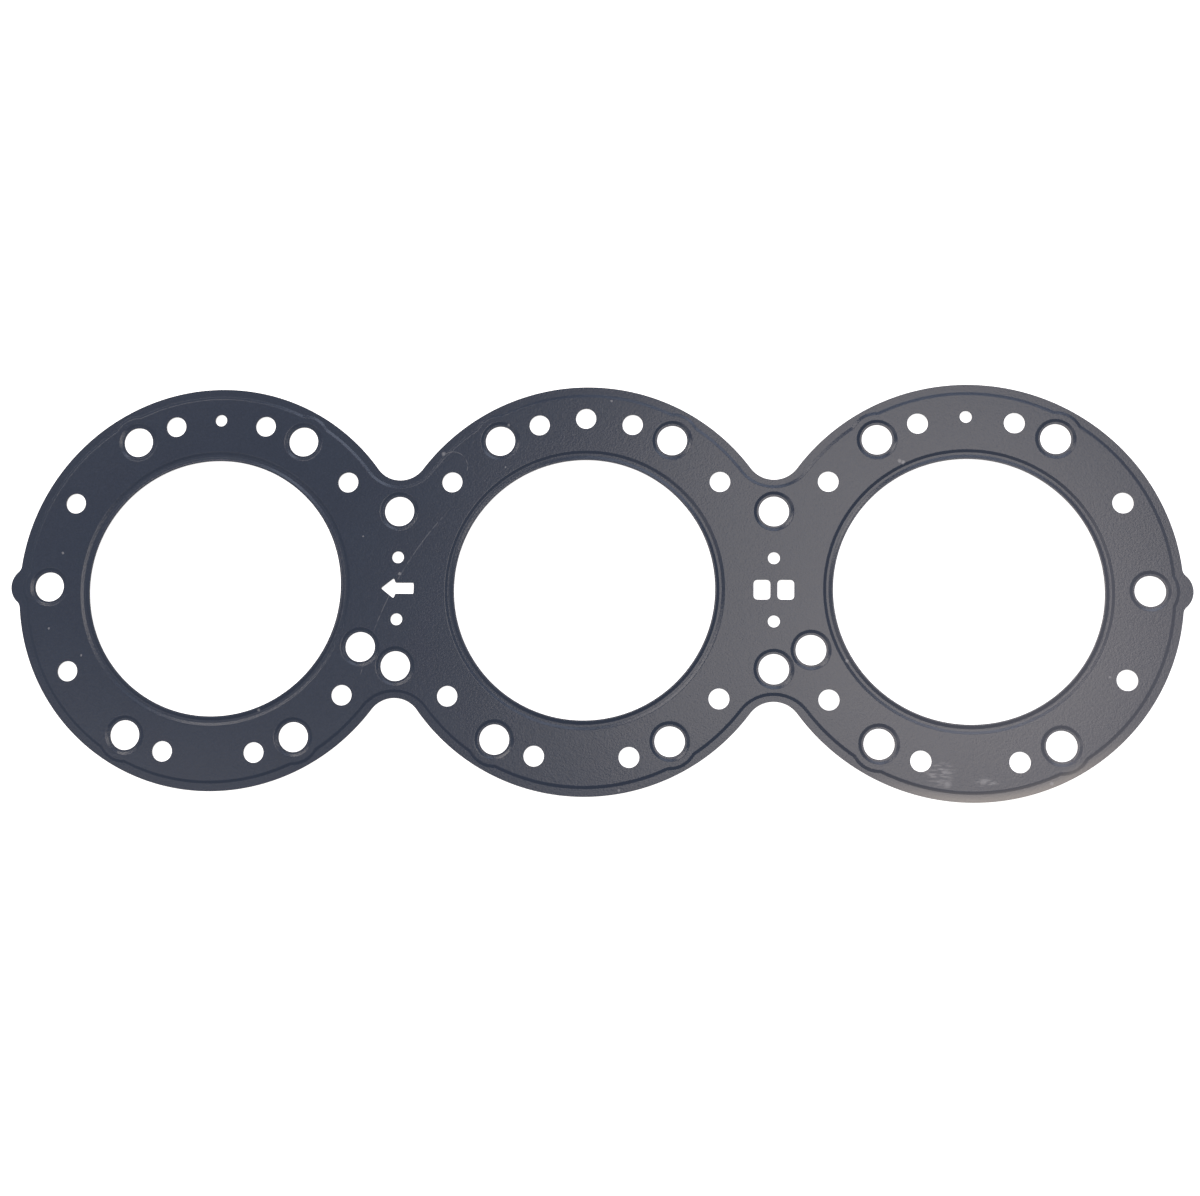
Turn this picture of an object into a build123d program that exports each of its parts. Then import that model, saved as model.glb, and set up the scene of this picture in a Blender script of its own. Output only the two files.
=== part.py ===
from build123d import *

import os
from math import acos, atan2, cos, degrees, hypot, radians, sin, tan

# Cylinder head gasket for a bank of three cylinders: one sheet of spring steel, blanked and
# embossed in a single pressing, with rubber baked onto both sides. Millimetres, +Z up.
# The origin is on the axis of the middle cylinder, on the plane that the sheet lies on, and X
# runs along the row of cylinders. Most of the sheet stands bead_height above that plane. It
# steps down to it at the rim and round every bolt hole, each step being a half bead, and dips
# down to it and up again in a groove round every bore, which is a full bead.

# Outline
cylinder_count = 3
cylinder_pitch = 132.0
ring_diameter = 144.0
waist_radius = 10.0
tab_reach = 3.1
tab_radius = 7.2
tab_blend_radius = 3.0

# Sheet and beads
sheet_thickness = 0.5
bead_height = 0.4
bead_slope_width = 1.0
rim_width = 3.2
rim_bead_waist_radius = 14.2
rim_bead_bulge = 4.0
rim_bead_blend_radius = 2.0
bolt_lip_width = 1.2
bore_lip_width = 1.0
bore_bead_width = 1.85

# Bores
bore_diameter = 91.5

# Bolt holes, and two stud holes of the same size
bolt_hole_diameter = 10.5
bolt_edge_distance = 11.15
bolt_angle = 60.0
web_bolt_edge_distance = 11.2
stud_distance_along = 12.7
stud_distance_across = 20.8

# Coolant holes and small vent holes
coolant_hole_diameter = 7.2
coolant_edge_distance = 11.45
upper_coolant_angle = 74.2
web_coolant_angle = 38.7
end_coolant_angle = 30.0
vent_hole_diameter = 4.2
web_vent_spacing = 22.0

# Windows in the webs between the cylinders
arrow_length = 11.7
arrow_width = 7.2
arrow_head_length = 4.6
arrow_barb_rake = 0.6
arrow_shaft_width = 3.9
arrow_corner_radius = 0.4
window_length = 5.8
window_height = 6.9
window_spacing = 8.2
window_corner_radius = 1.3

# Heights and slopes that follow from the sizes
sheet_top = sheet_thickness + bead_height
slope_angle = degrees(atan2(bead_height, bead_slope_width))
half_slope = bead_slope_width / 2
# The slope is as thick as the sheet, so its underside lies this much nearer the high side.
slope_shift = sheet_thickness * tan(radians(slope_angle) / 2)

# Radii, taken for the beads at half the height of the slope
bore_radius = bore_diameter / 2
ring_radius = ring_diameter / 2
bolt_circle_radius = ring_radius - bolt_edge_distance
coolant_circle_radius = ring_radius - coolant_edge_distance
bore_bead_inner_radius = bore_radius + bore_lip_width
bore_bead_outer_radius = bore_bead_inner_radius + bore_bead_width
bolt_bead_radius = bolt_hole_diameter / 2 + bolt_lip_width
rim_bead_radius = ring_radius - rim_width
rim_bead_bulge_radius = bolt_hole_diameter / 2 + rim_bead_bulge

# Places along the row of cylinders
first_cylinder = -cylinder_pitch * (cylinder_count - 1) / 2
cylinders = [first_cylinder + number * cylinder_pitch for number in range(cylinder_count)]
last_cylinder = cylinders[-1]
inner_cylinders = cylinders[1:-1]
webs = [x + cylinder_pitch / 2 for x in cylinders[:-1]]


def waist_angle(radius, waist_radius):
    """Angle at which rings of that radius meet the arc that links them across a web."""
    return degrees(acos(cylinder_pitch / 2 / (radius + waist_radius)))


def on_circle(x, radius, angle):
    """Point on a circle about a cylinder's axis, at an angle from the row of cylinders."""
    return (x + radius * cos(radians(angle)), radius * sin(radians(angle)))


def on_four_sides(x, radius, angle):
    """Four such points, mirrored across the row and across the cylinder."""
    angles = (angle, 180 - angle, 180 + angle, -angle)
    return [on_circle(x, radius, a) for a in angles]


def across_web(x, distance):
    """A pair of points in a web, at that distance each side of the row."""
    return [(x, distance), (x, -distance)]


# Bolt holes: four round each cylinder, one at each end of the row, and two in each web
rim_bolts = [on_circle(first_cylinder, bolt_circle_radius, 180)]
rim_bolts.append(on_circle(last_cylinder, bolt_circle_radius, 0))
for x in cylinders:
    rim_bolts += on_four_sides(x, bolt_circle_radius, bolt_angle)
waist_centre_y = (ring_radius + waist_radius) * sin(radians(waist_angle(ring_radius, waist_radius)))
web_bolt_y = waist_centre_y - waist_radius - web_bolt_edge_distance
web_bolts = [point for x in webs for point in across_web(x, web_bolt_y)]
studs = [
    (webs[0] - stud_distance_along, -stud_distance_across),
    (webs[-1] + stud_distance_along, -stud_distance_across),
]
bolts = rim_bolts + web_bolts + studs

# Coolant holes: four above and below each cylinder, and four nearer its sides, which stand
# closer to the row at the two ends of the sheet. An inner cylinder has one more at its top.
coolant_holes = [on_circle(x, coolant_circle_radius, 90) for x in inner_cylinders]
for x in cylinders:
    coolant_holes += on_four_sides(x, coolant_circle_radius, upper_coolant_angle)
    left = end_coolant_angle if x == first_cylinder else web_coolant_angle
    right = end_coolant_angle if x == last_cylinder else web_coolant_angle
    angles = (180 - left, 180 + left, right, -right)
    coolant_holes += [on_circle(x, coolant_circle_radius, a) for a in angles]

# Vent holes: one at the top of each end cylinder, and two in each web
vent_holes = [point for x in webs for point in across_web(x, web_vent_spacing / 2)]
vent_holes.append(on_circle(first_cylinder, coolant_circle_radius, 90))
vent_holes.append(on_circle(last_cylinder, coolant_circle_radius, 90))


def linked_rings(radius, waist_radius):
    """Discs of one radius on all the cylinders, linked by arcs tangent to both of each pair."""
    lean = waist_angle(radius, waist_radius)
    waist_y = (radius + waist_radius) * sin(radians(lean))
    with BuildSketch() as rings:
        with BuildLine():
            for side in (1, -1):
                for x in cylinders:
                    start = 0 if x == last_cylinder else lean
                    end = 180 if x == first_cylinder else 180 - lean
                    CenterArc((x, 0), radius, side * start, side * (end - start))
                for x in webs:
                    waist = (x, side * waist_y)
                    CenterArc(waist, waist_radius, side * -lean, side * (2 * lean - 180))
        make_face()
    return rings.sketch


def with_discs(outline, places, radius, blend_radius):
    """An outline with a disc at each place, and the corners where the discs leave it rounded."""
    with BuildSketch() as joined:
        add(outline)
        with Locations(*places):
            Circle(radius)
        corners = [
            v
            for v in joined.vertices()
            if abs(v.Y) > 0.001
            and any(abs(hypot(v.X - x, v.Y - y) - radius) < 0.001 for x, y in places)
        ]
        fillet(corners, blend_radius)
    return joined.sketch


def sheet_outline():
    """Edge of the sheet: linked rings, with a small round tab at each end of the row."""
    tab_x = last_cylinder + ring_radius + tab_reach - tab_radius
    rings = linked_rings(ring_radius, waist_radius)
    return with_discs(rings, [(-tab_x, 0), (tab_x, 0)], tab_radius, tab_blend_radius)


def rim_bead_line(growth):
    """Line of the rim's bead, bulging round each bolt by the rim, moved outwards by growth."""
    rings = linked_rings(rim_bead_radius + growth, rim_bead_waist_radius - growth)
    bulge_radius = rim_bead_bulge_radius + growth
    return with_discs(rings, rim_bolts, bulge_radius, rim_bead_blend_radius - growth)


# Blank, pressed up inside the line of the rim's bead
with BuildPart() as gasket_sheet:
    with BuildSketch():
        add(sheet_outline())
    extrude(amount=sheet_thickness)
    with BuildSketch(Plane.XY.offset(sheet_thickness)):
        add(rim_bead_line(half_slope))
    with BuildSketch(Plane.XY.offset(sheet_top)):
        add(rim_bead_line(-half_slope))
    loft(ruled=True)
    with BuildSketch():
        add(rim_bead_line(half_slope - slope_shift))
    with BuildSketch(Plane.XY.offset(bead_height)):
        add(rim_bead_line(-half_slope - slope_shift))
    loft(ruled=True, mode=Mode.SUBTRACT)

    # Half bead round each bolt hole: the sheet comes down again to the plane it lies on.
    with Locations(*[(x, y, 0) for x, y in bolts]):
        Cone(
            bolt_bead_radius - half_slope + slope_shift,
            bolt_bead_radius + half_slope + slope_shift,
            bead_height,
            align=(Align.CENTER, Align.CENTER, Align.MIN),
        )
    with Locations(*[(x, y, sheet_thickness) for x, y in bolts]):
        Cone(
            bolt_bead_radius - half_slope,
            bolt_bead_radius + half_slope,
            bead_height,
            align=(Align.CENTER, Align.CENTER, Align.MIN),
            mode=Mode.SUBTRACT,
        )

    # Full bead round each bore: a groove from above, which stands out as a ridge below.
    for x in cylinders:
        for height, shift, mode in (
            (0, slope_shift, Mode.ADD),
            (sheet_thickness, 0, Mode.SUBTRACT),
        ):
            with BuildSketch(Plane.XZ) as groove:
                with BuildLine():
                    Polyline(
                        (x + bore_bead_inner_radius + half_slope - shift, height),
                        (x + bore_bead_outer_radius - half_slope + shift, height),
                        (x + bore_bead_outer_radius + half_slope + shift, height + bead_height),
                        (x + bore_bead_inner_radius - half_slope - shift, height + bead_height),
                        close=True,
                    )
                make_face()
            revolve(axis=Axis((x, 0, 0), (0, 0, 1)), mode=mode)

    # Bores and round holes
    with Locations(*[(x, 0) for x in cylinders]):
        Hole(bore_radius)
    with Locations(*bolts):
        Hole(bolt_hole_diameter / 2)
    with Locations(*coolant_holes):
        Hole(coolant_hole_diameter / 2)
    with Locations(*vent_holes):
        Hole(vent_hole_diameter / 2)

    # Arrow in the first web, and two plain windows in the last one
    with BuildSketch(Plane((webs[0], 0, 0))) as arrow:
        with BuildLine():
            barb_x = arrow_head_length - arrow_length / 2
            Polyline(
                (-arrow_length / 2, 0),
                (barb_x, arrow_width / 2),
                (barb_x + arrow_barb_rake, arrow_shaft_width / 2),
                (arrow_length / 2, arrow_shaft_width / 2),
                (arrow_length / 2, -arrow_shaft_width / 2),
                (barb_x + arrow_barb_rake, -arrow_shaft_width / 2),
                (barb_x, -arrow_width / 2),
                close=True,
            )
        make_face()
        fillet(arrow.vertices(), arrow_corner_radius)
    extrude(amount=sheet_top, mode=Mode.SUBTRACT)
    with BuildSketch(Plane((webs[-1], 0, 0))):
        with GridLocations(window_spacing, 0, 2, 1):
            RectangleRounded(window_length, window_height, window_corner_radius)
    extrude(amount=sheet_top, mode=Mode.SUBTRACT)
gasket_sheet.part.label = "gasket_sheet"

os.makedirs("parts", exist_ok=True)
export_step(gasket_sheet.part, "parts/gasket_sheet.step")
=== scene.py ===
# %% [markdown]
# # A cylinder head gasket
# The gasket seals a cylinder head to its block. It is one sheet of spring steel, half a
# millimetre thick, blanked and embossed in a press, with a thin coat of rubber baked onto both
# sides. All that it has to show is its outline, its holes, the bends of its beads and the soft
# shine of the coat, so those are what this lesson makes. The imported model comes first, and its
# size is printed.

import bpy
import numpy as np
from mathutils import Matrix, Vector
from mathutils.geometry import delaunay_2d_cdt


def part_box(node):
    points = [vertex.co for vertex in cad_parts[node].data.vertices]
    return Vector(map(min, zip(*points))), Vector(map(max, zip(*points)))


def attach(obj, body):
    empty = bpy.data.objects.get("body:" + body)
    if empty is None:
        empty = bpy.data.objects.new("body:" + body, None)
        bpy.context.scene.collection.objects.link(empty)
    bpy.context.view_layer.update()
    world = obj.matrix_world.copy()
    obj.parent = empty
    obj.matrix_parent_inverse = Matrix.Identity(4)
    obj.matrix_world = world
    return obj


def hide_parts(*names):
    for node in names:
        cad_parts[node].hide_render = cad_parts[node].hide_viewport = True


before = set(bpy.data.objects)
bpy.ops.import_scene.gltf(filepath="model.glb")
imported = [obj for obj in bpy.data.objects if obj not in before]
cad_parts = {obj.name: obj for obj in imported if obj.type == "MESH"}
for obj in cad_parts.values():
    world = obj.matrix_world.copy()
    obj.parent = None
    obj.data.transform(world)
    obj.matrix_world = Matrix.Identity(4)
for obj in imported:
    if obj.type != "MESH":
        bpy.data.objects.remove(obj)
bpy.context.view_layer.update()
lowest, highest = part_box("gasket_sheet")
print("packed sheet, mm:", [round(1000 * (b - a), 2) for a, b in zip(lowest, highest)])

# %% [markdown]
# ## The camera
# The camera stands half a metre above the sheet, a few degrees off its middle. A camera's matrix
# holds its three axes as columns: right, up, and backwards from the view. Two of them are enough
# to write down, because the third stands square to both.

# %% Camera
camera = bpy.data.objects.new("camera", bpy.data.cameras.new("camera"))
bpy.context.collection.objects.link(camera)
bpy.context.scene.camera = camera

camera_place = Vector((0.04886, -0.06181, 0.52503))
camera_right = Vector((0.99667, 0.01349, -0.08040))
camera_back = Vector((0.08140, -0.11081, 0.99050)).normalized()
camera_up = camera_back.cross(camera_right).normalized()
camera_right = camera_up.cross(camera_back)
axes = Matrix((camera_right, camera_up, camera_back)).transposed()
camera.matrix_world = Matrix.Translation(camera_place) @ axes.to_4x4()
camera.data.sensor_width = 36.0
camera.data.lens = 45.57
print("camera stands", round(camera_place.z, 3), "m above the sheet")

# %% [markdown]
# ## The outline, as arcs that touch
# A press tool's outline is drawn with arcs and nothing else: three rings, a hollow arc across
# each web between them, and a small round tab at each end, blended in. Where one arc passes into
# the next they touch, so the line has no corner. That makes the maths short. Two circles that
# touch from outside meet on the line between their centres, so an arc's two ends point straight
# at its neighbours' centres, and its normals are its radii. Moving each point along its normal
# then gives the exact parallel line, which is what a bead or a cut edge needs.

# %% Main sizes of the sheet, in millimetres
MM = 0.001
PITCH = 132.0
CYLINDERS = (-PITCH, 0.0, PITCH)
WEBS = (-PITCH / 2, PITCH / 2)
RING_RADIUS = 72.0
WAIST_RADIUS = 10.0
TAB_RADIUS = 7.2
TAB_REACH = 3.1
TAB_BLEND_RADIUS = 3.0
print("cylinders at x =", CYLINDERS, "and webs at x =", WEBS)


# %% Arcs that touch, and points along them
def follow_arcs(arcs, turn=np.radians(5.0), stride=1.25):
    """Points along a closed chain of touching arcs, and the unit normals that point away from it.

    An arc is (x, y, radius, side), and side is 1 where the line bulges and -1 where it hollows.
    Its angle runs from the centre of the arc before it to the centre of the one after it:
    normal = side * (cos angle, sin angle), point = centre + radius * (cos angle, sin angle).
    """
    arcs = np.array(arcs)
    centres, radii, sides = arcs[:, :2], arcs[:, 2], arcs[:, 3]
    back = np.roll(centres, 1, axis=0) - centres
    ahead = np.roll(centres, -1, axis=0) - centres
    start = np.arctan2(back[:, 1], back[:, 0])
    sweep = sides * ((sides * (np.arctan2(ahead[:, 1], ahead[:, 0]) - start)) % (2 * np.pi))
    steps = np.ceil(np.maximum(abs(sweep) / turn, radii * abs(sweep) / stride)).astype(int)
    arc = np.repeat(np.arange(len(arcs)), steps)
    step = np.arange(steps.sum()) - np.repeat(np.cumsum(steps) - steps, steps)
    angle = start[arc] + sweep[arc] * step / steps[arc]
    radial = np.stack([np.cos(angle), np.sin(angle)], axis=1)
    return centres[arc] + radii[arc, None] * radial, sides[arc, None] * radial


def blend_centres(a, a_radius, b, b_radius, radius):
    """Both centres of the arc of that radius that touches circles a and b from outside.

    It stands a_radius + radius from a and b_radius + radius from b. With d from a to b:
    along = (d^2 + (a_radius + radius)^2 - (b_radius + radius)^2) / 2d, and the rest is sideways.
    """
    a, b = np.array(a, float), np.array(b, float)
    gap = np.linalg.norm(b - a)
    reach = a_radius + radius
    along = (gap**2 + reach**2 - (b_radius + radius) ** 2) / (2 * gap)
    sideways = np.sqrt(reach**2 - along**2)
    ahead = (b - a) / gap
    left = np.array([-ahead[1], ahead[0]])
    return a + along * ahead + sideways * left, a + along * ahead - sideways * left


def turned_half_round(arcs):
    """The same arcs turned half round the middle of the sheet, which complete a chain."""
    return arcs + [(-x, -y, radius, side) for x, y, radius, side in arcs]


def waist(web, ring_radius, waist_radius):
    """The arc across a web, above the row: it touches the ring on each side from outside."""
    rise = np.sqrt((ring_radius + waist_radius) ** 2 - (PITCH / 2) ** 2)
    return (web, rise, waist_radius, -1)


# %% Outline of the sheet
tab = np.array([PITCH + RING_RADIUS + TAB_REACH - TAB_RADIUS, 0.0])
blend_x, blend_y = blend_centres((PITCH, 0.0), RING_RADIUS, tab, TAB_RADIUS, TAB_BLEND_RADIUS)[0]

outline_arcs = turned_half_round(
    [
        (*tab, TAB_RADIUS, 1),
        (blend_x, blend_y, TAB_BLEND_RADIUS, -1),
        (PITCH, 0.0, RING_RADIUS, 1),
        waist(PITCH / 2, RING_RADIUS, WAIST_RADIUS),
        (0.0, 0.0, RING_RADIUS, 1),
        waist(-PITCH / 2, RING_RADIUS, WAIST_RADIUS),
        (-PITCH, 0.0, RING_RADIUS, 1),
        (-blend_x, blend_y, TAB_BLEND_RADIUS, -1),
    ]
)
outline, outline_normals = follow_arcs(outline_arcs)
print("outline:", len(outline_arcs), "arcs,", len(outline), "points")

# %% [markdown]
# ## The line of the rim's bead
# The bead along the rim keeps 3.2 mm inside the outline, but there isn't room for that at the
# bolts, so it bulges out round each of them on an arc about the bolt's own centre. This bulging
# line is what makes the part look like a gasket. The same chain of arcs draws it: ring, blend,
# bulge, blend, ring, and a wider hollow across each web.

# %% Line of the rim's bead
BOLT_CIRCLE = 60.85
BOLT_ANGLE = 60.0
RIM_BEAD_RADIUS = 68.8
BULGE_RADIUS = 9.25
BULGE_BLEND_RADIUS = 2.0
RIM_BEAD_WAIST_RADIUS = 14.2


def on_circle(x, radius, angle):
    """Point on a circle about a cylinder's axis: (x + radius * cos, radius * sin) of the angle."""
    angle = np.radians(angle)
    return np.array([x + radius * np.cos(angle), radius * np.sin(angle)])


def bulged_ring(x, bolt_angles):
    """A ring's part of the line, counter-clockwise, with a bulge round the bolt at each angle."""
    ring = (x, 0.0, RIM_BEAD_RADIUS, 1)
    arcs = [ring]
    for angle in bolt_angles:
        bolt = on_circle(x, BOLT_CIRCLE, angle)
        later, sooner = blend_centres(
            (x, 0.0), RIM_BEAD_RADIUS, bolt, BULGE_RADIUS, BULGE_BLEND_RADIUS
        )
        arcs.append((*sooner, BULGE_BLEND_RADIUS, -1))
        arcs.append((*bolt, BULGE_RADIUS, 1))
        arcs.append((*later, BULGE_BLEND_RADIUS, -1))
        arcs.append(ring)
    return arcs


bead_arcs = turned_half_round(
    bulged_ring(PITCH, [0.0, BOLT_ANGLE, 180.0 - BOLT_ANGLE])[1:]
    + [waist(PITCH / 2, RIM_BEAD_RADIUS, RIM_BEAD_WAIST_RADIUS)]
    + bulged_ring(0.0, [BOLT_ANGLE, 180.0 - BOLT_ANGLE])
    + [waist(-PITCH / 2, RIM_BEAD_RADIUS, RIM_BEAD_WAIST_RADIUS)]
    + bulged_ring(-PITCH, [BOLT_ANGLE, 180.0 - BOLT_ANGLE])
)
rim_bead, rim_bead_normals = follow_arcs(bead_arcs)
print("rim bead:", len(bead_arcs), "arcs,", len(rim_bead), "points")

# %% [markdown]
# ## Where the holes are
# The bolt holes, the coolant holes and the small vent holes stand on circles about the
# cylinders, mirrored across the row, so a few angles place nearly all of them. The hole patterns
# are mirrored from side to side too, all but the two studs, which stand on one side of the row
# only: the sheet can be laid on the block in one way.

# %% Places of the holes
BORE_RADIUS = 45.75
BOLT_HOLE_RADIUS = 5.25
COOLANT_HOLE_RADIUS = 3.6
VENT_HOLE_RADIUS = 2.1
WEB_BOLT_Y = 27.462
WEB_VENT_Y = 11.0
STUD_X = 78.7
STUD_Y = -20.8
COOLANT_CIRCLE = 60.55
UPPER_COOLANT_ANGLE = 74.2
WEB_COOLANT_ANGLE = 38.7
END_COOLANT_ANGLE = 30.0


def four_sides(x, radius, angle):
    """Four places on a circle about a cylinder, at an angle from the row on each side of it."""
    return [on_circle(x, radius, a) for a in (angle, 180 - angle, 180 + angle, -angle)]


bolt_places = [on_circle(-PITCH, BOLT_CIRCLE, 180), on_circle(PITCH, BOLT_CIRCLE, 0)]
coolant_places = [on_circle(0.0, COOLANT_CIRCLE, 90)]
vent_places = [on_circle(-PITCH, COOLANT_CIRCLE, 90), on_circle(PITCH, COOLANT_CIRCLE, 90)]
for x in CYLINDERS:
    bolt_places += four_sides(x, BOLT_CIRCLE, BOLT_ANGLE)
    coolant_places += four_sides(x, COOLANT_CIRCLE, UPPER_COOLANT_ANGLE)
    # The ends of the row have no web beside them, so the holes there stand nearer to the row.
    left = END_COOLANT_ANGLE if x < 0 else WEB_COOLANT_ANGLE
    right = END_COOLANT_ANGLE if x > 0 else WEB_COOLANT_ANGLE
    for angle in (180 - left, 180 + left, right, -right):
        coolant_places.append(on_circle(x, COOLANT_CIRCLE, angle))
for x in WEBS:
    bolt_places += [(x, WEB_BOLT_Y), (x, -WEB_BOLT_Y)]
    vent_places += [(x, WEB_VENT_Y), (x, -WEB_VENT_Y)]
bolt_places += [(-STUD_X, STUD_Y), (STUD_X, STUD_Y)]
print(len(bolt_places), "bolt,", len(coolant_places), "coolant,", len(vent_places), "vent holes")


def hole_edge(place, radius, steps):
    """Edge of a round hole, run clockwise, and its normals, which point into the sheet.

    point = place + radius * (cos angle, sin angle), as the angle falls through a full turn.
    """
    angle = -2 * np.pi * np.arange(steps) / steps
    radial = np.stack([np.cos(angle), np.sin(angle)], axis=1)
    return np.array(place) + radius * radial, radial


# %% [markdown]
# ## The arrow and the two windows
# Small windows are punched through the webs. The arrow says which way round the sheet is laid.
# A punch has slightly rounded corners, because a sharp one would chip and would start a crack in
# the sheet, so each corner here is an arc that touches the two sides that meet there.

# %% Edges of the arrow and the windows
ARROW_CORNER_RADIUS = 0.4
WINDOW_SPACING = 8.2
WINDOW_LENGTH = 5.8
WINDOW_HEIGHT = 6.9
WINDOW_CORNER_RADIUS = 1.3


def rounded_edge(corners, radius, steps=6):
    """Edge of a window with its corners rounded, run clockwise, and the normals into the sheet.

    At a corner the sides open by an angle w. The arc's centre is radius / sin(w / 2) along the
    line that halves that angle, and the arc runs between the two sides' normals.
    """
    corners = np.array(corners, float)
    to_last = np.roll(corners, 1, axis=0) - corners
    to_next = np.roll(corners, -1, axis=0) - corners
    to_last /= np.linalg.norm(to_last, axis=1)[:, None]
    to_next /= np.linalg.norm(to_next, axis=1)[:, None]
    halving = to_last + to_next
    halving /= np.linalg.norm(halving, axis=1)[:, None]
    half_sine = np.sqrt((1 - (to_last * to_next).sum(axis=1)) / 2)
    centres = corners + halving * (radius / half_sine)[:, None]
    # Run clockwise, a side that leads along t has its sheet on the left, at (-t.y, t.x).
    before = np.stack([to_last[:, 1], -to_last[:, 0]], axis=1)
    after = np.stack([-to_next[:, 1], to_next[:, 0]], axis=1)
    start = np.arctan2(before[:, 1], before[:, 0])
    sweep = (np.arctan2(after[:, 1], after[:, 0]) - start + np.pi) % (2 * np.pi) - np.pi
    bulges = np.where(sweep < 0, 1.0, -1.0)
    angle = start[:, None] + sweep[:, None] * np.linspace(0, 1, steps)
    normals = np.stack([np.cos(angle), np.sin(angle)], axis=2)
    points = centres[:, None, :] + radius * bulges[:, None, None] * normals
    return points.reshape(-1, 2), normals.reshape(-1, 2)


# The arrow lies about the first web: its tip, a barb, the shaft, and the same again below.
tip = [(-71.85, 0.0)]
upper_side = [(-67.25, 3.6), (-66.65, 1.95), (-60.15, 1.95)]
lower_side = [(x, -y) for x, y in reversed(upper_side)]
window_edges = [rounded_edge(tip + upper_side + lower_side, ARROW_CORNER_RADIUS)]

half_length, half_height = WINDOW_LENGTH / 2, WINDOW_HEIGHT / 2
for middle in (WEBS[1] - WINDOW_SPACING / 2, WEBS[1] + WINDOW_SPACING / 2):
    left, right = middle - half_length, middle + half_length
    box = [(left, -half_height), (left, half_height), (right, half_height), (right, -half_height)]
    window_edges.append(rounded_edge(box, WINDOW_CORNER_RADIUS))
print("windows:", [len(points) for points, _ in window_edges], "points")

# %% [markdown]
# ## The sheet in section
# Bending hardly thins a sheet, so a section is drawn as the press tool's maker draws it: one
# line through the middle of the steel, with a skin half a thickness to each side of it, square to
# it. A bead's slope is that middle line bending up on an arc, running straight, and bending back
# level. Where the sheet is cut, the two skins are joined by a wall whose corners the press has
# rounded a little.

# %% Sections of the beads and the cut edges
THICKNESS = 0.5
BEAD_HEIGHT = 0.4
SLOPE_WIDTH = 1.0
SLOPE = np.arctan2(BEAD_HEIGHT, SLOPE_WIDTH)
BEND_RADIUS = 0.5
EDGE_RADIUS = 0.09
ARC_POINTS = 4
FLAT_STRIP = 0.05
# The bolt bead's slope, and the bore bead's two, stand this far from the edge of their hole.
BOLT_SLOPE = 1.2
BORE_SLOPES = (1.0, 2.85)
# The beads' places are those of the top skin, and the middle line is this far to the high side.
MIDDLE_SHIFT = THICKNESS * np.tan(SLOPE / 2) / 2


def slope_line():
    """Middle line of a slope that rises with distance, as (distance, height, angle) rows.

    The first bend is distance = -SLOPE_WIDTH / 2 - BEND_RADIUS * tan(SLOPE / 2) + BEND_RADIUS *
    sin(angle), height = BEND_RADIUS * (1 - cos(angle)). The second is the first one turned half
    round the middle of the slope.
    """
    angle = np.linspace(0, SLOPE, ARC_POINTS)
    foot = -SLOPE_WIDTH / 2 - BEND_RADIUS * np.tan(SLOPE / 2)
    distance = foot + BEND_RADIUS * np.sin(angle)
    height = BEND_RADIUS * (1 - np.cos(angle))
    first = np.stack([distance, height, angle], axis=1)
    second = np.stack([-distance, BEAD_HEIGHT - height, angle], axis=1)[::-1]
    return np.concatenate([first, second])


def rising(centre):
    """A slope about that distance which is high at the far side, shifted to that side."""
    return slope_line() + (centre + MIDDLE_SHIFT, 0, 0)


def falling(centre):
    """The mirror image: high at the near side."""
    return slope_line()[::-1] * (-1, 1, -1) + (centre - MIDDLE_SHIFT, 0, 0)


def skin(line, side):
    """One skin of a middle line: half the thickness along the line's normal, up or down.

    (distance, height) = (d, THICKNESS / 2 + h) + side * THICKNESS / 2 * (-sin angle, cos angle)
    """
    distance, height, angle = line.T
    half = side * THICKNESS / 2
    return np.stack(
        [distance - half * np.sin(angle), THICKNESS / 2 + height + half * np.cos(angle)], axis=1
    )


def cut_section(line):
    """Section of the sheet at a cut: along the top skin to the edge, down it, and back below.

    The line's first row is nearest to the edge, which is at distance 0. Each corner of the wall
    is a quarter circle of EDGE_RADIUS.
    """
    height = line[0, 1]
    angle = np.linspace(0, np.pi / 2, ARC_POINTS)
    top_corner = np.stack(
        [
            EDGE_RADIUS * (1 - np.sin(angle)),
            height + THICKNESS - EDGE_RADIUS * (1 - np.cos(angle)),
        ],
        axis=1,
    )
    bottom_corner = top_corner[::-1] * (1, -1) + (0, 2 * height + THICKNESS)
    return np.concatenate([skin(line[::-1], 1), top_corner, bottom_corner, skin(line, -1)])


def flat(distance, height):
    """One row of a level middle line."""
    return np.array([[distance, height, 0.0]])


beside_edge = EDGE_RADIUS + FLAT_STRIP
rim_section = cut_section(flat(beside_edge, 0.0))
plain_section = cut_section(flat(beside_edge, BEAD_HEIGHT))

bolt_slope = rising(BOLT_SLOPE)
bolt_line = np.concatenate(
    [flat(beside_edge, 0.0), bolt_slope, flat(bolt_slope[-1, 0] + FLAT_STRIP, BEAD_HEIGHT)]
)
bolt_section = cut_section(bolt_line)

inner_slope, outer_slope = falling(BORE_SLOPES[0]), rising(BORE_SLOPES[1])
bore_line = np.concatenate(
    [inner_slope, outer_slope, flat(outer_slope[-1, 0] + FLAT_STRIP, BEAD_HEIGHT)]
)
bore_section = cut_section(bore_line)

rim_slope = rising(0.0)
rim_bead_line = np.concatenate(
    [
        flat(rim_slope[0, 0] - FLAT_STRIP, 0.0),
        rim_slope,
        flat(rim_slope[-1, 0] + FLAT_STRIP, BEAD_HEIGHT),
    ]
)
print("slope", round(np.degrees(SLOPE), 1), "degrees; bolt section", len(bolt_section), "points")

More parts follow.
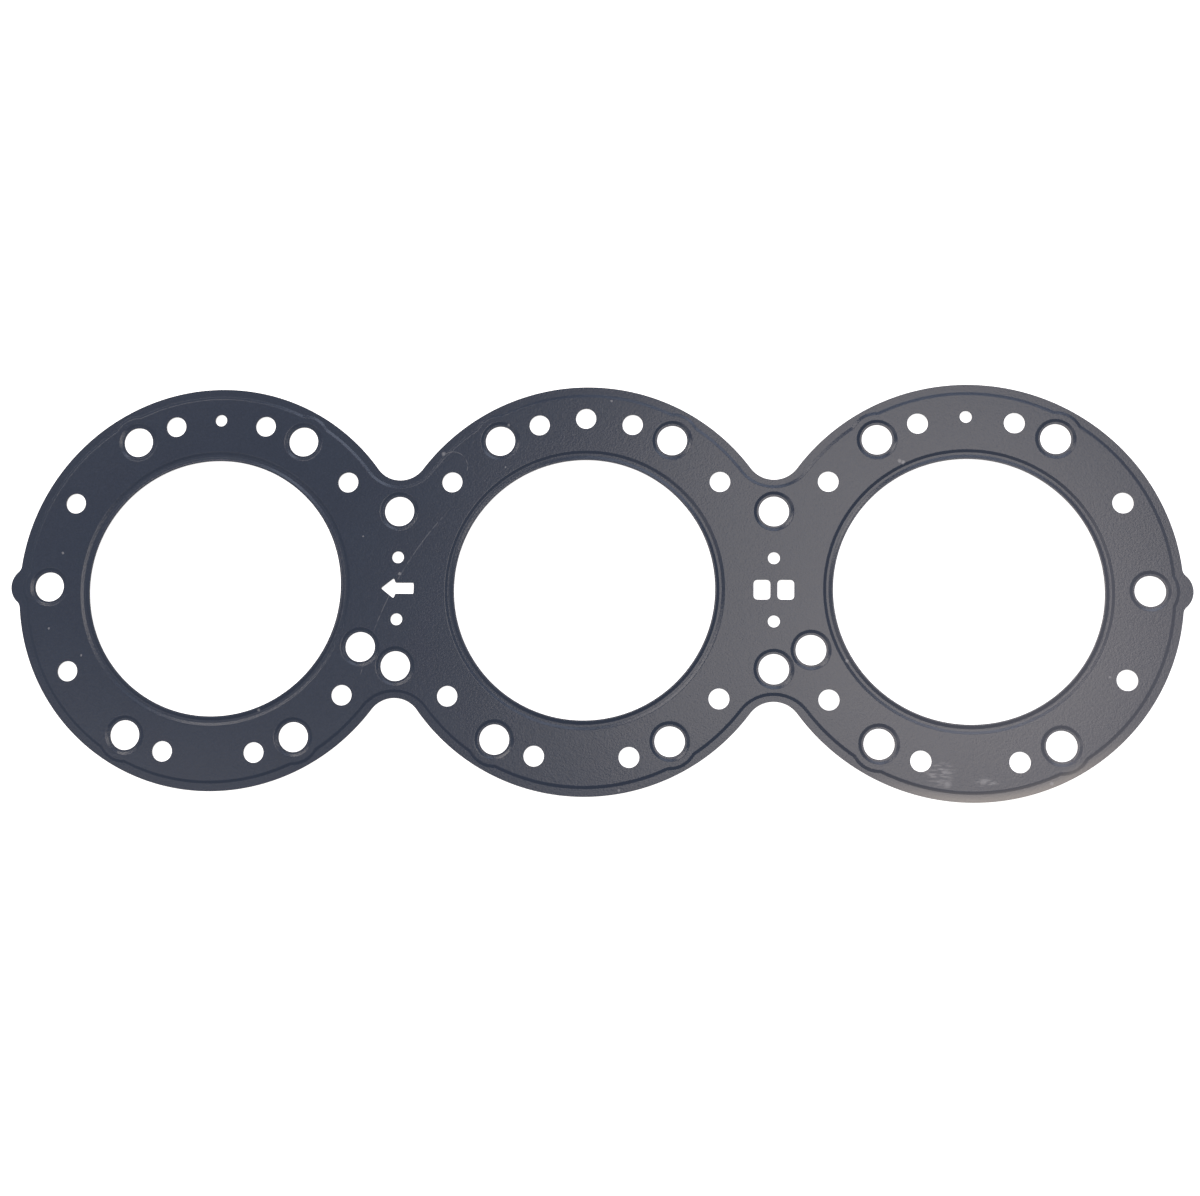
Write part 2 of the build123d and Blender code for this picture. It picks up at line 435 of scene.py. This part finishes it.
# %% [markdown]
# ## Carrying the sections along the lines
# A section is carried along a closed line as a grid: one way along the line, the other way round
# the section. Every line is run with the sheet on its left and every section starts on top, deep
# in the sheet, so all the faces come out facing outwards without any repair.

# %% Grids of points
grids = []
strips = []


def carry(line, inward, section, cut=False):
    """Carries a section along a closed line, and returns the grid of its points' numbers.

    point(i, j) = (line(i) + distance(j) * inward(i), height(j)), joined to its neighbours.
    """
    first = sum(len(grid) for grid in grids)
    flat_points = line[:, None, :] + inward[:, None, :] * section[None, :, :1]
    heights = np.broadcast_to(section[None, :, 1:], (*flat_points.shape[:2], 1))
    grids.append(np.concatenate([flat_points, heights], axis=2).reshape(-1, 3))
    numbers = first + np.arange(len(line) * len(section)).reshape(len(line), -1)
    ahead = np.roll(numbers, -1, axis=0)
    quads = np.stack([numbers[:, :-1], numbers[:, 1:], ahead[:, 1:], ahead[:, :-1]], axis=2)
    is_wall = np.zeros(quads.shape[:2], bool)
    if cut:
        # A section runs the same way above as below, so the wall is the strips in its middle.
        middle = (len(section) - 1) // 2
        is_wall[:, middle - 1 : middle + 2] = True
    strips.append((quads.reshape(-1, 4), is_wall.reshape(-1)))
    return numbers


rim_loops = [carry(outline, -outline_normals, rim_section, cut=True)]
top_bead = carry(rim_bead, -rim_bead_normals, skin(rim_bead_line[::-1], 1))
bottom_bead = carry(rim_bead, -rim_bead_normals, skin(rim_bead_line, -1))

raised_loops = []
for places, radius, steps, section in (
    ([(x, 0.0) for x in CYLINDERS], BORE_RADIUS, 216, bore_section),
    (bolt_places, BOLT_HOLE_RADIUS, 44, bolt_section),
    (coolant_places, COOLANT_HOLE_RADIUS, 40, plain_section),
    (vent_places, VENT_HOLE_RADIUS, 32, plain_section),
):
    for place in places:
        raised_loops.append(carry(*hole_edge(place, radius, steps), section, cut=True))
for points, normals in window_edges:
    raised_loops.append(carry(points, normals, plain_section, cut=True))
sheet_points = np.concatenate(grids)
print(len(strips), "strips,", len(sheet_points), "points")

# %% [markdown]
# ## Filling the level areas
# What is left is level: the band outside the rim's bead, and the raised area with all its holes,
# each once on top and once below. A constrained Delaunay triangulation joins exactly the points
# that the strips already end in, so the mesh closes with no gap. It fills the holes as well, and
# those triangles are dropped by counting how many edges a line from each one crosses.

# %% Level areas
fills = []


def inside(places, loops):
    """True for each place that a line running along +X from it leaves by an odd count of edges."""
    odd = np.zeros(len(places), bool)
    for loop in loops:
        start = sheet_points[loop, :2]
        end = np.roll(start, -1, axis=0)
        x, y = places[:, :1], places[:, 1:]
        spans = (start[:, 1] > y) != (end[:, 1] > y)
        rise = np.where(end[:, 1] == start[:, 1], 1.0, end[:, 1] - start[:, 1])
        crossing = start[:, 0] + (y - start[:, 1]) * (end[:, 0] - start[:, 0]) / rise
        odd ^= (spans & (crossing > x)).sum(axis=1) % 2 == 1
    return odd


def fill_level(loops, up):
    """Triangles between closed loops of points that are level, all facing up or all down."""
    numbers = np.concatenate(loops)
    ends = np.cumsum([len(loop) for loop in loops])
    following = np.arange(1, len(numbers) + 1)
    following[ends - 1] = np.concatenate([[0], ends[:-1]])
    edges = np.stack([np.arange(len(numbers)), following], axis=1)
    places = [Vector(p) for p in sheet_points[numbers, :2].tolist()]
    result = delaunay_2d_cdt(places, edges.tolist(), [], 1, 1e-7)
    source = np.array([origin[0] for origin in result[3]])
    triangles = numbers[source[np.array(result[2])]]
    corners = sheet_points[triangles][:, :, :2]
    triangles = triangles[inside(corners.mean(axis=1), loops)]
    corners = sheet_points[triangles][:, :, :2]
    one, two = corners[:, 1] - corners[:, 0], corners[:, 2] - corners[:, 0]
    faces_up = one[:, 0] * two[:, 1] - one[:, 1] * two[:, 0] > 0
    turn = faces_up != up
    triangles[turn] = triangles[turn][:, ::-1]
    fills.append(triangles)


fill_level([loop[:, 0] for loop in rim_loops] + [top_bead[:, -1]], up=True)
fill_level([loop[:, -1] for loop in rim_loops] + [bottom_bead[:, 0]], up=False)
fill_level([top_bead[:, 0]] + [loop[:, 0] for loop in raised_loops], up=True)
fill_level([bottom_bead[:, -1]] + [loop[:, -1] for loop in raised_loops], up=False)
print("level areas:", [len(triangles) for triangles in fills], "triangles")

# %% The sheet as one closed mesh
quads = np.concatenate([quads for quads, _ in strips])
on_wall = np.concatenate([wall for _, wall in strips])
triangles = np.concatenate(fills)

mesh = bpy.data.meshes.new("coated_sheet")
mesh.from_pydata((sheet_points * MM).tolist(), [], quads.tolist() + triangles.tolist())
wall_slots = np.concatenate([on_wall, np.zeros(len(triangles), bool)]).astype(np.int32)
mesh.polygons.foreach_set("material_index", wall_slots)
mesh.shade_smooth()
mesh.update()
sheet = bpy.data.objects.new("coated_sheet", mesh)
bpy.context.collection.objects.link(sheet)
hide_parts("gasket_sheet")
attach(sheet, "root")

edge_keys = np.sort(
    np.concatenate(
        [np.stack([f, np.roll(f, -1, axis=1)], axis=2).reshape(-1, 2) for f in (quads, triangles)]
    ),
    axis=1,
)
sides_per_edge = np.unique(edge_keys, axis=0, return_counts=True)[1]
print("closed:", bool((sides_per_edge == 2).all()), "triangles:", 2 * len(quads) + len(triangles))

# %% [markdown]
# ## The coat of rubber
# Fluoroelastomer, the rubber that stands hot oil, is rolled onto the steel as a thin paint and
# baked. It sets to a satin blue-black with a very fine grain: the skin is smooth enough to mirror
# a lamp softly, and the grain breaks the mirror up. Fluorine makes it bend light less than other
# rubbers do, so its index is low and it mirrors a little less. The colour stays nearly the same
# all over, but for a painted sheen and a painted highlight on the rim at the lower right, and the
# life is in the roughness and in two bumps, one of the roller's fine grain and one of the sheet's
# slow waves.


# %% Colours and nodes
def linear(hex_colour):
    """Linear RGBA of an sRGB hex: c / 12.92 up to 0.04045, else ((c + 0.055) / 1.055)^2.4."""
    code = hex_colour.lstrip("#")
    srgb = np.array([int(code[i : i + 2], 16) for i in (0, 2, 4)]) / 255
    low = srgb / 12.92
    high = ((srgb + 0.055) / 1.055) ** 2.4
    return (*np.where(srgb <= 0.04045, low, high), 1.0)


def add(tree, kind, settings=None, **inputs):
    """Adds a node. Settings are its own properties; inputs take a value or another's output."""
    node = tree.nodes.new(kind)
    for name, value in (settings or {}).items():
        setattr(node, name, value)
    for name, value in inputs.items():
        socket = node.inputs[int(name[1:]) if name[1:].isdigit() else name.replace("_", " ")]
        if isinstance(value, bpy.types.NodeSocket):
            tree.links.new(value, socket)
        else:
            socket.default_value = value
    return node


def new_material(name):
    """An empty node material, its Principled shader and its output, already joined."""
    material = bpy.data.materials.new(name)
    material.use_nodes = True
    material.node_tree.nodes.clear()
    shader = add(material.node_tree, "ShaderNodeBsdfPrincipled")
    output = add(material.node_tree, "ShaderNodeOutputMaterial", Surface=shader.outputs["BSDF"])
    return material, shader, output


# %% Baked fluoroelastomer, and its grain, clouds and waves
coat, coat_shader, _ = new_material("baked fluoroelastomer coat")
coat_shader.inputs["IOR"].default_value = 1.38
coat_tree = coat.node_tree
coat_place = add(coat_tree, "ShaderNodeTexCoord").outputs["Object"]

# The real grain, of about a tenth of a millimetre, is too fine to show and is drawn coarser.
GRAIN = 0.6 * MM
grain = add(coat_tree, "ShaderNodeTexNoise", Vector=coat_place, Scale=1 / GRAIN, Detail=2.0)
CLOUD = 22 * MM
cloud = add(coat_tree, "ShaderNodeTexNoise", Vector=coat_place, Scale=1 / CLOUD, Detail=3.0)
WAVE = 70 * MM
wave = add(coat_tree, "ShaderNodeTexNoise", Vector=coat_place, Scale=1 / WAVE, Detail=0.0)
print("coat: grain", GRAIN / MM, "mm, clouds", CLOUD / MM, "mm, waves", WAVE / MM, "mm")

# %% [markdown]
# ## Handling marks
# The coat is soft and takes marks. Two fine lines are scored across the left web, a few flecks
# have been knocked off here and there, and something has scuffed the coat low on the right ring.
# The rim beside that scuff is lighter as well, from a painted highlight that comes further on.
# Each mark is a distance turned into a mask: from a point for a fleck, from a circle for a line
# that curves, and from an oval for a scuff. A little noise is added to the places first, so that
# no mark has a drawn edge. Only the places across the sheet count, so height is left out of them.

# %% Masks for the marks
flat_place = add(
    coat_tree, "ShaderNodeVectorMath", {"operation": "MULTIPLY"}, _0=coat_place, _1=(1, 1, 0)
).outputs["Vector"]
RAGGED = 0.7 * MM
LINE_END = 0.4
ragged = add(coat_tree, "ShaderNodeTexNoise", Vector=coat_place, Scale=1 / RAGGED, Detail=2.0)
ragged_place = add(
    coat_tree, "ShaderNodeVectorMath", {"operation": "MULTIPLY_ADD"},
    _0=ragged.outputs["Color"], _1=(RAGGED, RAGGED, 0), _2=flat_place,
).outputs["Vector"]
print("marks are ragged by up to", RAGGED / MM, "mm")


def fleck(x, y, radius):
    """A knocked spot: 1 within 0.4 of the radius from the place, falling to 0 at the radius."""
    away = add(
        coat_tree, "ShaderNodeVectorMath", {"operation": "DISTANCE"}, _0=ragged_place,
        _1=(x * MM, y * MM, 0),
    )
    return add(
        coat_tree, "ShaderNodeMapRange", Value=away.outputs["Value"], From_Min=radius * MM,
        From_Max=0.4 * radius * MM,
    ).outputs["Result"]


def scored_arc(x, y, radius, facing, half_angle, width):
    """A scored line that follows a circle's arc, which is half_angle long each side of facing.

    It is where |distance from the centre - radius| < width, and where the place lies beyond
    radius * cos(half_angle) from the centre, measured in the facing direction. There it fades
    out over LINE_END.
    """
    facing, half_angle = np.radians(facing), np.radians(half_angle)
    from_centre = add(
        coat_tree, "ShaderNodeVectorMath", {"operation": "SUBTRACT"},
        _0=flat_place, _1=(x * MM, y * MM, 0),
    ).outputs["Vector"]
    length = add(coat_tree, "ShaderNodeVectorMath", {"operation": "LENGTH"}, _0=from_centre)
    off_line = add(
        coat_tree, "ShaderNodeMath", {"operation": "SUBTRACT"}, _0=length.outputs["Value"],
        _1=radius * MM,
    )
    off_line = add(
        coat_tree, "ShaderNodeMath", {"operation": "ABSOLUTE"}, _0=off_line.outputs["Value"]
    )
    on_line = add(
        coat_tree, "ShaderNodeMapRange", Value=off_line.outputs["Value"], From_Min=width * MM,
        From_Max=0.0,
    )
    ahead = add(
        coat_tree, "ShaderNodeVectorMath", {"operation": "DOT_PRODUCT"}, _0=from_centre,
        _1=(np.cos(facing), np.sin(facing), 0),
    )
    start = radius * np.cos(half_angle) * MM
    on_arc = add(
        coat_tree, "ShaderNodeMapRange", Value=ahead.outputs["Value"], From_Min=start,
        From_Max=start + LINE_END * MM,
    )
    return add(
        coat_tree, "ShaderNodeMath", {"operation": "MULTIPLY"}, _0=on_line.outputs["Result"],
        _1=on_arc.outputs["Result"],
    ).outputs["Value"]


def scuff(x, y, half_length, half_width, streaks):
    """A scuffed oval: 1 up to 0.3 of the way to its edge and 0 at the edge, times the streaks."""
    from_middle = add(
        coat_tree, "ShaderNodeVectorMath", {"operation": "SUBTRACT"}, _0=ragged_place,
        _1=(x * MM, y * MM, 0),
    )
    share = add(
        coat_tree, "ShaderNodeVectorMath", {"operation": "DIVIDE"},
        _0=from_middle.outputs["Vector"], _1=(half_length * MM, half_width * MM, 1),
    )
    share = add(
        coat_tree, "ShaderNodeVectorMath", {"operation": "LENGTH"}, _0=share.outputs["Vector"]
    )
    oval = add(
        coat_tree, "ShaderNodeMapRange", Value=share.outputs["Value"], From_Min=1.0, From_Max=0.3
    )
    return add(
        coat_tree, "ShaderNodeMath", {"operation": "MULTIPLY"}, _0=oval.outputs["Result"],
        _1=streaks,
    ).outputs["Value"]


def pile_up(masks):
    """The strongest of several masks, taken one after another."""
    total = masks[0]
    for mask in masks[1:]:
        total = add(
            coat_tree, "ShaderNodeMath", {"operation": "MAXIMUM"}, _0=total, _1=mask
        ).outputs["Value"]
    return total


# %% Flecks
FLECKS = (
    (-50.3, 48.5, 0.9),
    (-27.2, 58.8, 0.6),
    (-28.0, 43.5, 0.45),
    (-64.9, 5.5, 0.7),
    (-78.4, 18.8, 0.4),
    (-188.0, 12.6, 0.5),
    (-191.8, -14.7, 0.5),
    (-179.3, -24.2, 0.5),
    (-113.9, -43.0, 0.65),
    (9.3, 67.2, 0.5),
    (13.5, -69.3, 0.55),
    (109.6, 45.4, 0.85),
    (110.8, 44.9, 0.85),
    (91.2, -24.1, 0.7),
    (179.0, -28.9, 0.5),
    (159.2, -64.8, 0.8),
)
flecks = pile_up([fleck(x, y, radius) for x, y, radius in FLECKS])
print(len(FLECKS), "flecks")

# %% Scored lines, with gaps where the scratch skipped
BROKEN = 2.5 * MM
broken = add(coat_tree, "ShaderNodeTexNoise", Vector=coat_place, Scale=1 / BROKEN, Detail=1.0)
gaps = add(
    coat_tree, "ShaderNodeMapRange", Value=broken.outputs["Fac"], From_Min=0.40, From_Max=0.56,
    To_Min=0.15,
)
whole_lines = pile_up(
    [
        scored_arc(42.3, -55.3, 122.9, facing=152.9, half_angle=15.6, width=0.26),
        scored_arc(-47.3, 43.4, 5.4, facing=53.0, half_angle=70.0, width=0.24),
    ]
)
scored = add(
    coat_tree, "ShaderNodeMath", {"operation": "MULTIPLY"}, _0=whole_lines,
    _1=gaps.outputs["Result"],
).outputs["Value"]
print("scored lines with gaps every", BROKEN / MM, "mm or so")

# %% Scuffs, streaked along the sheet
STREAK = 0.75 * MM
drawn_out = add(coat_tree, "ShaderNodeMapping", Vector=coat_place, Scale=(0.2, 1, 1))
streak_noise = add(
    coat_tree, "ShaderNodeTexNoise", Vector=drawn_out.outputs["Vector"], Scale=1 / STREAK,
    Detail=2.0,
)
streaks = add(
    coat_tree, "ShaderNodeMapRange", Value=streak_noise.outputs["Fac"], From_Min=0.44,
    From_Max=0.62,
).outputs["Result"]
scuffs = pile_up(
    [
        scuff(122.0, -62.0, 6.0, 5.0, streaks),
        scuff(124.6, -65.6, 1.8, 1.6, 0.8),
        scuff(137.8, -64.8, 4.5, 1.9, streaks),
        scuff(136.6, -64.6, 1.7, 1.3, 0.9),
    ]
)
print("marks done:", len(coat_tree.nodes), "nodes in the coat so far")

# %% [markdown]
# A painted sheen of pale grey lies over the lower right of the coat. It is light painted into the
# colour, standing in for the lamp's shine and a veil of light there. Right at the rim there, a
# painted highlight of warm grey stands in for the light that the rim catches. Each fades with the
# distance from a place of its own, and the rim's highlight is kept to where such a spot meets
# everything beyond a circle about the cylinder.


# %% The painted sheen, and the painted highlight on the rim
def soft_spot(x, y, start, end, top=1.0):
    """A smooth mask about a place: 0 at the distance start from it, rising to top at end."""
    away = add(
        coat_tree, "ShaderNodeVectorMath", {"operation": "DISTANCE"}, _0=flat_place,
        _1=(x * MM, y * MM, 0),
    )
    return add(
        coat_tree, "ShaderNodeMapRange", {"interpolation_type": "SMOOTHSTEP"},
        Value=away.outputs["Value"], From_Min=start * MM, From_Max=end * MM, To_Max=top,
    ).outputs["Result"]


# Painted sheen: pale grey laid into the coat's colour over the lower right, in place of light.
painted_sheen = soft_spot(182, -52, start=135, end=10, top=0.34)
# Painted highlight: warm grey laid into the rim's colour at the lower right, where the rim catches
# light.
by_rim = soft_spot(PITCH, 0, start=67.5, end=RING_RADIUS)
by_spot = soft_spot(146, -72, start=56, end=12)
painted_highlight = add(
    coat_tree, "ShaderNodeMath", {"operation": "MULTIPLY"}, _0=by_rim, _1=by_spot
).outputs["Value"]
print("bloom and rubbed rim:", len(coat_tree.nodes), "nodes in the coat so far")

# %% Colour of the coat
BLUE_BLACK = "#172236"
PALER_BLUE_BLACK = "#1A273B"
# The next two greys are painted light, not colours of the coat: a sheen and a rim highlight.
PAINTED_SHEEN_GREY = "#7A797E"
RIM_HIGHLIGHT_GREY = "#86827F"
SCUFFED_GREY = "#A8A8AC"

clouded = add(
    coat_tree, "ShaderNodeMix", {"data_type": "RGBA"}, _0=cloud.outputs["Fac"],
    _6=linear(BLUE_BLACK), _7=linear(PALER_BLUE_BLACK),
).outputs[2]
speck = add(
    coat_tree, "ShaderNodeMapRange", Value=grain.outputs["Fac"], From_Min=0.3, From_Max=0.7,
    To_Min=0.91, To_Max=1.09,
)
coat_colour = add(
    coat_tree, "ShaderNodeVectorMath", {"operation": "SCALE"}, _0=clouded,
    _3=speck.outputs["Result"],
).outputs["Vector"]
# The first two colours here are painted light, a painted sheen and a painted rim highlight. The
# last three are real wear.
for mask, strength, colour in (
    (painted_sheen, 1.0, PAINTED_SHEEN_GREY),
    (painted_highlight, 1.0, RIM_HIGHLIGHT_GREY),
    (scuffs, 0.36, SCUFFED_GREY),
    (flecks, 0.40, SCUFFED_GREY),
    (scored, 0.20, SCUFFED_GREY),
):
    share = add(coat_tree, "ShaderNodeMath", {"operation": "MULTIPLY"}, _0=mask, _1=strength)
    coat_colour = add(
        coat_tree, "ShaderNodeMix", {"data_type": "RGBA"}, _0=share.outputs["Value"],
        _6=coat_colour, _7=linear(colour),
    ).outputs[2]
coat_tree.links.new(coat_colour, coat_shader.inputs["Base Color"])
print("coat colour between", BLUE_BLACK, "and", PALER_BLUE_BLACK, "under its marks")

# %% Roughness, grain and waves of the coat
coat_roughness = add(
    coat_tree, "ShaderNodeMapRange", Value=grain.outputs["Fac"], To_Min=0.20, To_Max=0.27
)
coat_tree.links.new(coat_roughness.outputs["Result"], coat_shader.inputs["Roughness"])

waves = add(
    coat_tree, "ShaderNodeBump", Height=wave.outputs["Fac"], Strength=1.0, Distance=0.4 * MM
)
grains = add(
    coat_tree, "ShaderNodeBump", Height=grain.outputs["Fac"], Strength=0.6,
    Distance=0.07 * MM, Normal=waves.outputs["Normal"],
)
coat_tree.links.new(grains.outputs["Normal"], coat_shader.inputs["Normal"])
mesh.materials.append(coat)
print(coat.name, "has", len(coat_tree.nodes), "nodes")

# %% [markdown]
# ## The cut edges
# The sheet is coated before it is punched, so the walls of the cuts are bare steel. A punch
# shears the steel and then tears it, which leaves a dull, warm grey wall. It is half a millimetre
# tall and hardly seen from above, so one rough metal does for it.

# %% Sheared steel of the cut edges
sheared, sheared_shader, _ = new_material("sheared spring steel edge")
sheared_shader.inputs["Base Color"].default_value = linear("#6A6660")
sheared_shader.inputs["Metallic"].default_value = 0.6
edge_tree = sheared.node_tree
edge_place = add(edge_tree, "ShaderNodeTexCoord").outputs["Object"]
SHEAR_MARK = 0.3 * MM
shear_marks = add(edge_tree, "ShaderNodeTexNoise", Vector=edge_place, Scale=1 / SHEAR_MARK)
edge_roughness = add(
    edge_tree, "ShaderNodeMapRange", Value=shear_marks.outputs["Fac"], To_Min=0.4, To_Max=0.6
)
edge_tree.links.new(edge_roughness.outputs["Result"], sheared_shader.inputs["Roughness"])
mesh.materials.append(sheared)
print("materials:", [material.name for material in mesh.materials])

# %% [markdown]
# ## The floor and the room
# The sheet lies on white paper in a pale room. The paper lights the cut edges and the walls of
# the holes from below, as it would any sheet that lies on it. Paper and room would come out grey
# under these lamps, so rays that reach the camera, directly or by way of something shiny or
# clear, find the room plain white and the paper glowing a little.


# %% Floor of white paper
def in_view(tree):
    """1 for rays that leave the camera or something shiny or clear on its behalf, else 0."""
    path = add(tree, "ShaderNodeLightPath").outputs
    ray_in_view = path["Is Camera Ray"]
    for ray in ("Is Glossy Ray", "Is Transmission Ray"):
        ray_in_view = add(
            tree, "ShaderNodeMath", {"operation": "MAXIMUM"}, _0=ray_in_view, _1=path[ray]
        ).outputs["Value"]
    return ray_in_view


FLOOR_HALF = 6.0
FLOOR_Z = -0.02 * MM
square = [(-FLOOR_HALF, -FLOOR_HALF), (FLOOR_HALF, -FLOOR_HALF)]
square += [(-x, -y) for x, y in square]
floor_mesh = bpy.data.meshes.new("floor")
floor_mesh.from_pydata([(x, y, FLOOR_Z) for x, y in square], [], [(0, 1, 2, 3)])
floor = bpy.data.objects.new("floor", floor_mesh)
bpy.context.collection.objects.link(floor)

paper, paper_shader, paper_output = new_material("white floor paper")
paper_tree = paper.node_tree
paper_shader.inputs["Base Color"].default_value = linear("#FFFFFF")
paper_shader.inputs["Roughness"].default_value = 0.9
glow = add(paper_tree, "ShaderNodeEmission", Color=linear("#FFFFFF"), Strength=0.65)
glowing = add(
    paper_tree, "ShaderNodeAddShader", _0=paper_shader.outputs["BSDF"],
    _1=glow.outputs["Emission"],
)
paper_mix = add(
    paper_tree, "ShaderNodeMixShader", _0=in_view(paper_tree),
    _1=paper_shader.outputs["BSDF"], _2=glowing.outputs["Shader"],
)
paper_tree.links.new(paper_mix.outputs["Shader"], paper_output.inputs["Surface"])
floor_mesh.materials.append(paper)
print("floor:", 2 * FLOOR_HALF, "m square")

# %% The room
world = bpy.data.worlds.new("studio")
bpy.context.scene.world = world
world.use_nodes = True
room_tree = world.node_tree
room_tree.nodes.clear()
room = add(room_tree, "ShaderNodeBackground", Color=linear("#F4F6FF"), Strength=0.30)
backdrop = add(room_tree, "ShaderNodeBackground", Color=linear("#FFFFFF"), Strength=1.0)
room_mix = add(
    room_tree, "ShaderNodeMixShader", _0=in_view(room_tree),
    _1=room.outputs["Background"], _2=backdrop.outputs["Background"],
)
add(room_tree, "ShaderNodeOutputWorld", Surface=room_mix.outputs["Shader"])
bpy.context.scene.view_settings.view_transform = "Standard"
print("room light strength", round(room.inputs["Strength"].default_value, 2))

# %% [markdown]
# ## The lamps
# A satin coat shows a lamp where it mirrors one, so each lamp hangs where the right surfaces
# mirror it. The wide lamp, six metres up, is mirrored by the level sheet on the right and not on
# the left, so the coat goes from grey to blue-black along the sheet with no change in its colour,
# except that the painted sheen on the coat lightens the lower right as well. The left and back
# lamps are mirrored only by slopes that lean towards them, and draw arcs of light on the beads,
# whose other side stays dark. The faint lamp lifts the lower left a little.


# %% Lamps
def soft_lamp(name, place, width, depth, radiance, colour, turn=0.0):
    """A lamp that faces down. Its power is radiance * width * depth * pi: it looks that bright."""
    lamp = bpy.data.lights.new(name, "AREA")
    lamp.shape = "RECTANGLE"
    lamp.color = linear(colour)[:3]
    lamp.size = width
    lamp.size_y = depth
    lamp.energy = radiance * width * depth * np.pi
    lamp_object = bpy.data.objects.new(name, lamp)
    bpy.context.collection.objects.link(lamp_object)
    turned = Matrix.Rotation(np.radians(turn), 4, "Z")
    lamp_object.matrix_world = Matrix.Translation(place) @ turned
    print(name, "power", round(lamp.energy, 2), "W")


WARM_WHITE = "#FFF5ED"
COOL_WHITE = "#E2EAFF"
soft_lamp("wide lamp", (0.687, 0.787, 6.0), 2.17, 2.96, 5.8, WARM_WHITE, turn=-22)
soft_lamp("left lamp", (-2.10, 1.95, 3.0), 2.40, 1.15, 8.5, WARM_WHITE, turn=28)
soft_lamp("back lamp", (1.05, 3.05, 3.0), 3.10, 1.60, 4.2, COOL_WHITE)
soft_lamp("faint lamp", (-1.70, -0.50, 3.0), 1.80, 1.00, 1.9, WARM_WHITE)
